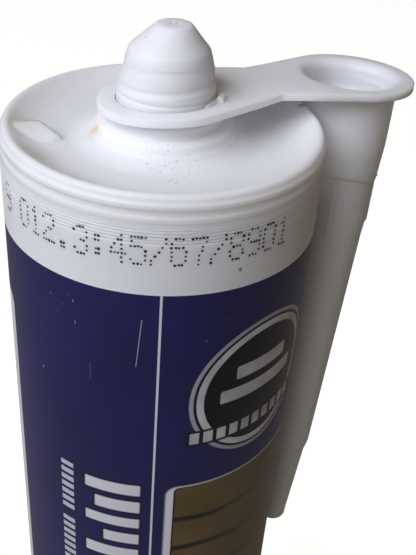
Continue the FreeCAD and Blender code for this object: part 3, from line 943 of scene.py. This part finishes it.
# Stains as place, radius, fading distance, colour and strength
STAINS = [
    ((-10.1, -2.9, LIP_Z - 1.2), 0.45, 0.9, "DCA862", 0.95),
    ((-8.9, -4.9, LIP_Z - 1.2), 0.2, 0.6, "E4C496", 0.6),
    ((1.15, -11.9, LIP_Z - 2.2), 0.1, 0.16, "6A4434", 0.9),
    ((-5.85, -14.3, LIP_Z - 2.5), 0.12, 0.2, "A87C60", 0.8),
    (on_barrel(11.8, -12.3), 0.2, 0.25, "9C5A2C", 0.9),
    (on_barrel(12.95, -11.8), 0.12, 0.2, "B0703C", 0.8),
    (on_barrel(13.95, -11.7), 0.14, 0.25, "B87A48", 0.8),
    ((22.4, 8.6, LIP_Z), 0.6, 0.6, "6C5E3A", 0.9),
    ((-19.8, -3.2, LIP_Z - 1.0), 0.16, 0.14, "4A4642", 0.9),
    ((6.3, -2.9, LIP_Z + 6.5), 0.08, 0.12, "77706A", 0.8),
    ((4.47, -5.77, LIP_Z + 7.77), 0.05, 0.14, "77706A", 0.7),
    ((4.77, -5.72, LIP_Z + 5.2), 0.07, 0.14, "77706A", 0.8),
    ((-6.79, -2.94, LIP_Z + 4.31), 0.1, 0.3, "8C8078", 0.6),
    ((1.26, 0.44, LIP_Z + 14.7), 0.15, 0.35, "C8A888", 0.9),
]

# Grime beside the boss, and painted shade as a faint olive tint in the dish's corner along the rim, as place,
# radius, fading distance, colour and strength
GRIME_AND_PAINTED_SHADE = [
    # painted shade: olive-grey tint in the dish's corner along the rim, where the rim's shade falls
    ((-21.5, -2.0, LIP_Z - 0.9), 0.4, 4.5, "D6D1B8", 0.6),
    ((-18.0, -11.5, LIP_Z - 1.6), 0.4, 4.5, "D0CAB0", 0.6),
    # grime: a faint warm halo round the stain beside the boss
    ((-10.2, -3.0, LIP_Z - 1.0), 0.4, 2.6, "EBD6B4", 0.5),
]

# Chips in the ink as u, height, half width and half length
CHIPS = [
    (-12.6, -19.1, 0.1, 0.3), (-15.5, -22.1, 0.12, 0.12), (-12.35, -22.9, 0.09, 0.4),
    (-10.7, -24.6, 0.3, 0.08), (-19.3, -35.0, 0.28, 0.3), (-14.4, -20.4, 0.08, 0.1),
    (-13.4, -18.2, 0.1, 0.1), (-9.9, -31.0, 0.03, 1.6), (10.4, -20.6, 0.1, 0.1),
    (7.5, -24.0, 0.09, 0.2), (-16.8, -19.6, 0.07, 0.25),
]


def gold_bands(tree, flat, u, height):
    """Share of the gold panel's dark bands: soft, a little wavy, one to a pitch, and fading to the right."""
    wander = add(tree, "TexNoise", {"Vector": flat, "Scale": 1 / 14.0, "Detail": 1.0})
    phase = add(tree, "Math", {0: wander, 1: 2.0, 2: height}, operation="MULTIPLY_ADD")
    phase = add(tree, "Math", {0: phase, 1: -1 / BAND_PITCH, 2: BAND_PHASE}, operation="MULTIPLY_ADD")
    for operation, second in (("FRACT", 0), ("SUBTRACT", 0.5), ("ABSOLUTE", 0)):
        phase = add(tree, "Math", {0: phase, 1: second}, operation=operation)
    dark = add(tree, "MapRange", {"Value": phase, "From Min": 0.13, "From Max": 0.03},
               interpolation_type="SMOOTHSTEP")
    fade = add(tree, "MapRange", {"Value": u, "From Min": 9.0, "From Max": 22.0, "To Min": 1.0,
                                            "To Max": 0.25})
    below = add(tree, "Math", {0: height, 1: PANEL_TOP - 3}, operation="LESS_THAN")
    return product(tree, dark, fade, below)


def worn_ink(tree, shape, flat, u, height):
    """Share of the ink that is gone: the most that a long scratch, the chips or the tiny scuffs take off."""
    slant = add(tree, "Math", {0: height, 1: -0.08, 2: u}, operation="MULTIPLY_ADD")
    slanted = add(tree, "CombineXYZ", {0: slant, 1: height})
    worn = product(tree, patch(tree, slanted, (-0.5, -24.2), (0.1, 4.4), 0.1, 0.1), 0.75)
    marks = [product(tree, shape(chip[:2], chip[2:], chip[2], chip[2]), 0.55) for chip in CHIPS]
    marks.append(product(tree, specks(tree, flat, 4.6, 0.12, 0.05, 0.03, channel=1), 0.6))
    for mark in marks:
        worn = add(tree, "Math", {0: worn, 1: mark}, operation="MAXIMUM")
    return worn


def print_layers(tree, shape, flat, u, height):
    """The print's shares and colours, from the lowest ink to the wear on top of it."""
    ink = painted(tree, "1D1B49", (clouds(tree, flat, 22), "24215C"))
    layers = [
        (shape((0, PRINT_MIDDLE), (FIELD_HALF, PRINT_HALF), 0.01, 0.2), ink),
        (shape((BACK_U, PRINT_MIDDLE - BACK_INSET), (BACK_HALF, PRINT_HALF - BACK_INSET), 2.0), "E4E4E6"),
        (shape((LINE_U, PRINT_MIDDLE), (LINE_HALF, PRINT_HALF), 0.05), "DCDAE6"),
    ]
    for number in range(BAR_COUNT):
        if number % BAR_GAP_EVERY == BAR_GAP_EVERY - 1:
            continue
        tall = BAR_PITCH * BAR_HEIGHTS[number % len(BAR_HEIGHTS)]
        wide = BAR_HALF * BAR_WIDTHS[number % len(BAR_WIDTHS)]
        at = (BAR_U + BAR_HALF - wide, BAR_TOP - (number + 0.5) * BAR_PITCH)
        layers += [(shape(at, (wide + BAR_SHADOW, tall + BAR_SHADOW), 0.7, 0.5), "07060F"),
                   (shape(at, (wide, tall), 0.35, 0.3), "D9D8DF")]
    strip = shape((DASH_U, (DASH_TOP + DASH_FOOT) / 2), (DASH_HALF, (DASH_TOP - DASH_FOOT) / 2), 0.2)
    dashes = product(tree, repeats(tree, height, DASH_TOP, DASH_PITCH, 0.62),
                     repeats(tree, height, DASH_TOP, DASH_PITCH * DASH_GROUP, 0.87), strip)

    # Gold panel in a pale border, thick at its left, with a dark edge
    middle, reach = (PANEL_TOP + PANEL_FOOT) / 2, (PANEL_TOP - PANEL_FOOT) / 2
    gold = painted(tree, "5C4B2D", (clouds(tree, flat, 12), "705C38"),
                   (gold_bands(tree, flat, u, height), "1E1A14"))
    layers += [
        (dashes, "C4C3CC"),
        (shape((PANEL_U, middle), (PANEL_HALF, reach), 2.2, 0.5), "E4E3EE"),
        (shape((PANEL_U + 0.45, middle), (PANEL_HALF - 1.05, reach - 0.45), 1.0), "1C1712"),
        (shape((PANEL_U + 0.75, middle), (PANEL_HALF - 1.05, reach - 0.6), 0.9), gold),
    ]

    # Round medallion: pale rim, dark ring, silver ring, black field, two plain bars and a ribbon of blocks
    silver = painted(tree, "A4A4AC", (clouds(tree, flat, 9), "DEDEE4"))
    for reach, colour in ((13.4, "A9A9B6"), (12.7, "15151C"), (12.2, silver), (11.0, "0B0B10")):
        layers.append((shape((SEAL_U, SEAL_HEIGHT), (reach, reach), reach - 0.01), colour))
    for drop, reach in SEAL_BARS:
        layers.append((shape((SEAL_U, SEAL_HEIGHT + drop), (reach, SEAL_BAR_HALF), 0.5), silver))
    blocks = repeats(tree, product(tree, u, -1.0), BLOCK_START, BLOCK_PITCH, 0.7)
    rules = add(tree, "TexWave", {"Vector": flat, "Scale": ROUND / (20 * RULE_PITCH)},
                wave_type="BANDS", bands_direction="Y", wave_profile="SIN").outputs["Fac"]
    rule = add(tree, "MapRange", {"Value": rules, "From Min": 0.92, "From Max": 0.97})
    return layers + [
        (shape(RIBBON_AT, RIBBON_HALF, 0.8, 0.4), "12111E"),
        (product(tree, blocks, shape(RIBBON_AT, BLOCKS_HALF, 0.2)), silver),
        (product(tree, rule, shape((BACK_U, -95), (17.5, 55), 0.1)), "A4A3B4"),
        (worn_ink(tree, shape, flat, u, height), "C9C6CF"),
    ]


def printed_polyethylene():
    """White high density polyethylene, injection moulded, and gravure printed on the barrel: satin white with
    soft cloudy depth, and a smooth, slightly glossier ink film."""
    material, tree = new_material("printed_polyethylene")
    place = millimetres(tree)
    plastic = moulded_plastic(tree, place, ("F5F5F8", "F9F9FB"), 0.42, 0.35, 0.08)
    axes = add(tree, "SeparateXYZ", {0: place})
    back = product(tree, axes.outputs[1], -1.0)
    turn = add(tree, "Math", {0: axes.outputs[0], 1: back}, operation="ARCTAN2")
    u = product(tree, turn, BARREL_R)
    height = add(tree, "Math", {0: axes.outputs[2], 1: LIP_Z}, operation="SUBTRACT")
    flat = add(tree, "CombineXYZ", {0: u, 1: height})
    level = add(tree, "VectorMath", {0: place, 1: (1, 1, 0)}, operation="MULTIPLY")
    level = add(tree, "VectorMath", {0: level}, operation="LENGTH")
    outer = add(tree, "Math", {0: level, 1: BARREL_R - 0.3}, operation="GREATER_THAN")

    def shape(centre, half, corner, soft=SOFT_EDGE):
        """Patch of the print, by its middle, its half sizes, its corners and the softness of its edge."""
        return patch(tree, flat, centre, half, corner, soft)

    inked = product(tree, outer, shape((0, PRINT_MIDDLE), (FILM_HALF, PRINT_HALF), 0.01, 0.2))
    printed = painted(tree, plastic["Base Color"], *print_layers(tree, shape, flat, u, height))

    # Over the print: ragged stains, the crumbs in the dish, soft grime beside the boss and painted shade
    # along the rim's inner corner
    ragged = add(tree, "TexNoise", {"Vector": place, "Scale": 1 / 0.8, "Detail": 3.0})
    ragged = add(tree, "MapRange", {"Value": ragged, "From Min": 0.42, "From Max": 0.62})
    layers = [(inked, printed)]
    for centre, radius, soft, tint, strength in STAINS:
        layers.append((product(tree, ragged, strength, spot(tree, place, centre, radius, soft)), tint))
    crumbs = specks(tree, place, CRUMB_SIZE, 0.5, 0.24, 0.12)
    layers.append((product(tree, spot(tree, place, CRUMB_PLACE, 3.0, 3.2), 0.65, crumbs), "AE8068"))
    # Grime beside the boss, and painted shade: a faint olive tint in the dish's corner along the rim
    for centre, radius, soft, tint, strength in GRIME_AND_PAINTED_SHADE:
        layers.append((product(tree, spot(tree, place, centre, radius, soft), strength), tint))
    film = product(tree, inked, FILM_GLOSS)
    return finish_material(material, tree, {
        "Base Color": painted(tree, plastic["Base Color"], *layers), "Normal": plastic["Normal"],
        "Roughness": add(tree, "Math", {0: plastic["Roughness"], 1: film}, operation="SUBTRACT"),
        "IOR": PLASTIC_IOR, "Specular IOR Level": 0.3,
        "Subsurface Weight": add(tree, "Math", {0: 1.0, 1: inked}, operation="SUBTRACT"),
        "Subsurface Radius": (1.0, 0.94, 0.86), "Subsurface Scale": LIGHT_REACH})


def nozzle_polyethylene():
    """White low density polyethylene, injection moulded: satin and waxy, as light sinks a little way in."""
    material, tree = new_material("nozzle_polyethylene")
    plastic = moulded_plastic(tree, millimetres(tree), ("F6F6F8", "FAFAFB"), 0.4, 0.4, 0.05)
    return finish_material(material, tree, {
        **plastic, "IOR": PLASTIC_IOR, "Specular IOR Level": 0.35, "Subsurface Weight": 1.0,
        "Subsurface Radius": (1.0, 0.94, 0.84), "Subsurface Scale": LIGHT_REACH})


def piston_polyethylene():
    """Natural polyethylene, moulded: greyer and more matt than the barrel."""
    material, tree = new_material("piston_polyethylene")
    plastic = moulded_plastic(tree, millimetres(tree), ("D9DAD8", "E4E5E3"), 0.45, 0.5, 0.04)
    return finish_material(material, tree, {**plastic, "IOR": PLASTIC_IOR})


def sealing_paste():
    """Filled adhesive paste: off-white, dull and slightly uneven."""
    material, tree = new_material("sealing_paste")
    colour = painted(tree, "E2DED2", (clouds(tree, millimetres(tree), 5), "EDEAE0"))
    return finish_material(material, tree, {"Base Color": colour, "Roughness": 0.6, "IOR": 1.45})


def coding_ink():
    """Black solvent ink from a dot printer: thin, fairly matt and unevenly dark."""
    material, tree = new_material("coding_ink")
    colour = painted(tree, "1E1E26", (clouds(tree, millimetres(tree), 1.2), "3A3A46"))
    return finish_material(material, tree, {"Base Color": colour, "Roughness": 0.5, "IOR": 1.48})


# Pieces, with the body each rides on, its material and its slot
pieces = {
    "cartridge": (make_cartridge(), "barrel", printed_polyethylene(), "white_polyethylene"),
    "nozzle": (make_nozzle(), "nozzle", nozzle_polyethylene(), "nozzle_polyethylene"),
    "piston": (make_piston(), "piston", piston_polyethylene(), "piston_polyethylene"),
    "sealant": (make_sealant(), "barrel", sealing_paste(), "sealing_paste"),
}
for node_name, (piece, body, material, slot_name) in pieces.items():
    piece.data.materials.append(material)
    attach(piece, body)
    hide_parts(node_name)

paste = pieces["sealant"][0]
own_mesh(paste)

code = make_code()
code.data.materials.append(coding_ink())
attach(code, "barrel")

# Camera: its place from the lip's centre, its turns in degrees, and its focal length in photograph pixels
CAMERA_PLACE = (0.0, -119.15, 51.94)
CAMERA_TILT_DOWN = 10.632
CAMERA_TURN_RIGHT = 3.4
CAMERA_ROLL = 2.419
FOCAL_PIXELS = 834.0
IMAGE_LONG_SIDE = 555
SENSOR = 36.0
NEAREST_SEEN = 0.005


def swung(first, second, degrees):
    """Two square directions turned in their own plane, the first towards the second."""
    angle = math.radians(degrees)
    return (first * math.cos(angle) + second * math.sin(angle),
            second * math.cos(angle) - first * math.sin(angle))


def make_camera():
    """Camera aimed at the lip's centre, then tilted down, turned and rolled to the photograph's framing."""
    place = np.array(CAMERA_PLACE)
    forward = -unit(place)
    right = np.array([1.0, 0, 0])
    upward = np.cross(right, forward)
    forward, upward = swung(forward, upward, -CAMERA_TILT_DOWN)
    forward, right = swung(forward, right, CAMERA_TURN_RIGHT)
    right, upward = swung(right, upward, CAMERA_ROLL)
    data = bpy.data.cameras.new("camera")
    data.sensor_width = SENSOR
    data.lens = SENSOR * FOCAL_PIXELS / IMAGE_LONG_SIDE
    data.clip_start = NEAREST_SEEN
    camera = put_in_scene("camera", data)
    turn = Matrix(np.stack([right, upward, -forward], axis=1).tolist()).to_4x4()
    camera.matrix_world = Matrix.Translation((place + [0, 0, LIP_Z]) * MM) @ turn
    bpy.context.scene.camera = camera


# Room: what mirrors see of it, the floor and its own glow, and the light from all round
GLOSSY_SHARE = 0.1
FLOOR_SIZE = 6.0
FLOOR_GLOW = 0.93
ROOM_LIGHT = 0.125


def seen_directly(tree, diffuse_strength, seen_strength):
    """Strength for the rays that see a thing, in part for those that mirror it, and another strength for the
    light that it throws on others."""
    path = add(tree, "LightPath")
    seen = path.outputs["Is Camera Ray"]
    mirrored = product(tree, path.outputs["Is Glossy Ray"], GLOSSY_SHARE)
    for other in (path.outputs["Is Transmission Ray"], mirrored):
        seen = add(tree, "Math", {0: seen, 1: other}, operation="MAXIMUM")
    return add(tree, "MapRange", {"Value": seen, "To Min": diffuse_strength, "To Max": seen_strength})


def make_floor():
    """Plain pale floor that catches the shadow and reads white."""
    mesh = bpy.data.meshes.new("floor")
    half = FLOOR_SIZE / 2
    corners = [(-half, -half, 0), (half, -half, 0), (half, half, 0), (-half, half, 0)]
    mesh.from_pydata(corners, [], [(0, 1, 2, 3)])
    floor = put_in_scene("floor", mesh)
    material, tree = new_material("pale_floor")
    mesh.materials.append(finish_material(material, tree, {
        "Base Color": linear("8E897B"), "Roughness": 0.9, "Specular IOR Level": 0.0,
        "Emission Color": (1, 1, 1, 1), "Emission Strength": seen_directly(tree, 0.0, FLOOR_GLOW)}))


# Window: a wide soft lamp at the left, by its direction and distance from the top of the barrel
WINDOW_AZIMUTH = math.radians(223)
WINDOW_ELEVATION = math.radians(42)
WINDOW_DISTANCE = 0.75
WINDOW_SIZE = (0.65, 0.5)
WINDOW_POWER = 6.5
WINDOW_COLOUR = (0.84, 0.88, 1.0)


def make_window():
    """Lamp with the size, power and cool colour of the window, aimed at the top of the barrel."""
    data = bpy.data.lights.new("window", "AREA")
    data.shape = "RECTANGLE"
    data.size, data.size_y = WINDOW_SIZE
    data.energy = WINDOW_POWER
    data.color = WINDOW_COLOUR
    lamp = put_in_scene("window", data)
    level = math.cos(WINDOW_ELEVATION)
    away = Vector((level * math.cos(WINDOW_AZIMUTH), level * math.sin(WINDOW_AZIMUTH),
                   math.sin(WINDOW_ELEVATION)))
    lamp.location = Vector((0, 0, LIP_Z * MM)) + WINDOW_DISTANCE * away
    lamp.rotation_euler = (-away).to_track_quat("-Z", "Y").to_euler()


def make_world():
    """Dim warm room light, seen as plain white behind the object."""
    world = bpy.data.worlds.new("room")
    world.use_nodes = True
    world.node_tree.nodes.clear()
    tree = world.node_tree
    strength = seen_directly(tree, ROOM_LIGHT, 1.0)
    path = add(tree, "LightPath")
    colour = painted(tree, "FFEAD0", (path.outputs["Is Camera Ray"], "FFFFFF"))
    back = add(tree, "Background", {"Color": colour, "Strength": strength})
    add(tree, "OutputWorld", {"Surface": back})
    bpy.context.scene.world = world


make_camera()
make_floor()
make_world()
make_window()

bpy.context.scene.view_settings.view_transform = "Standard"
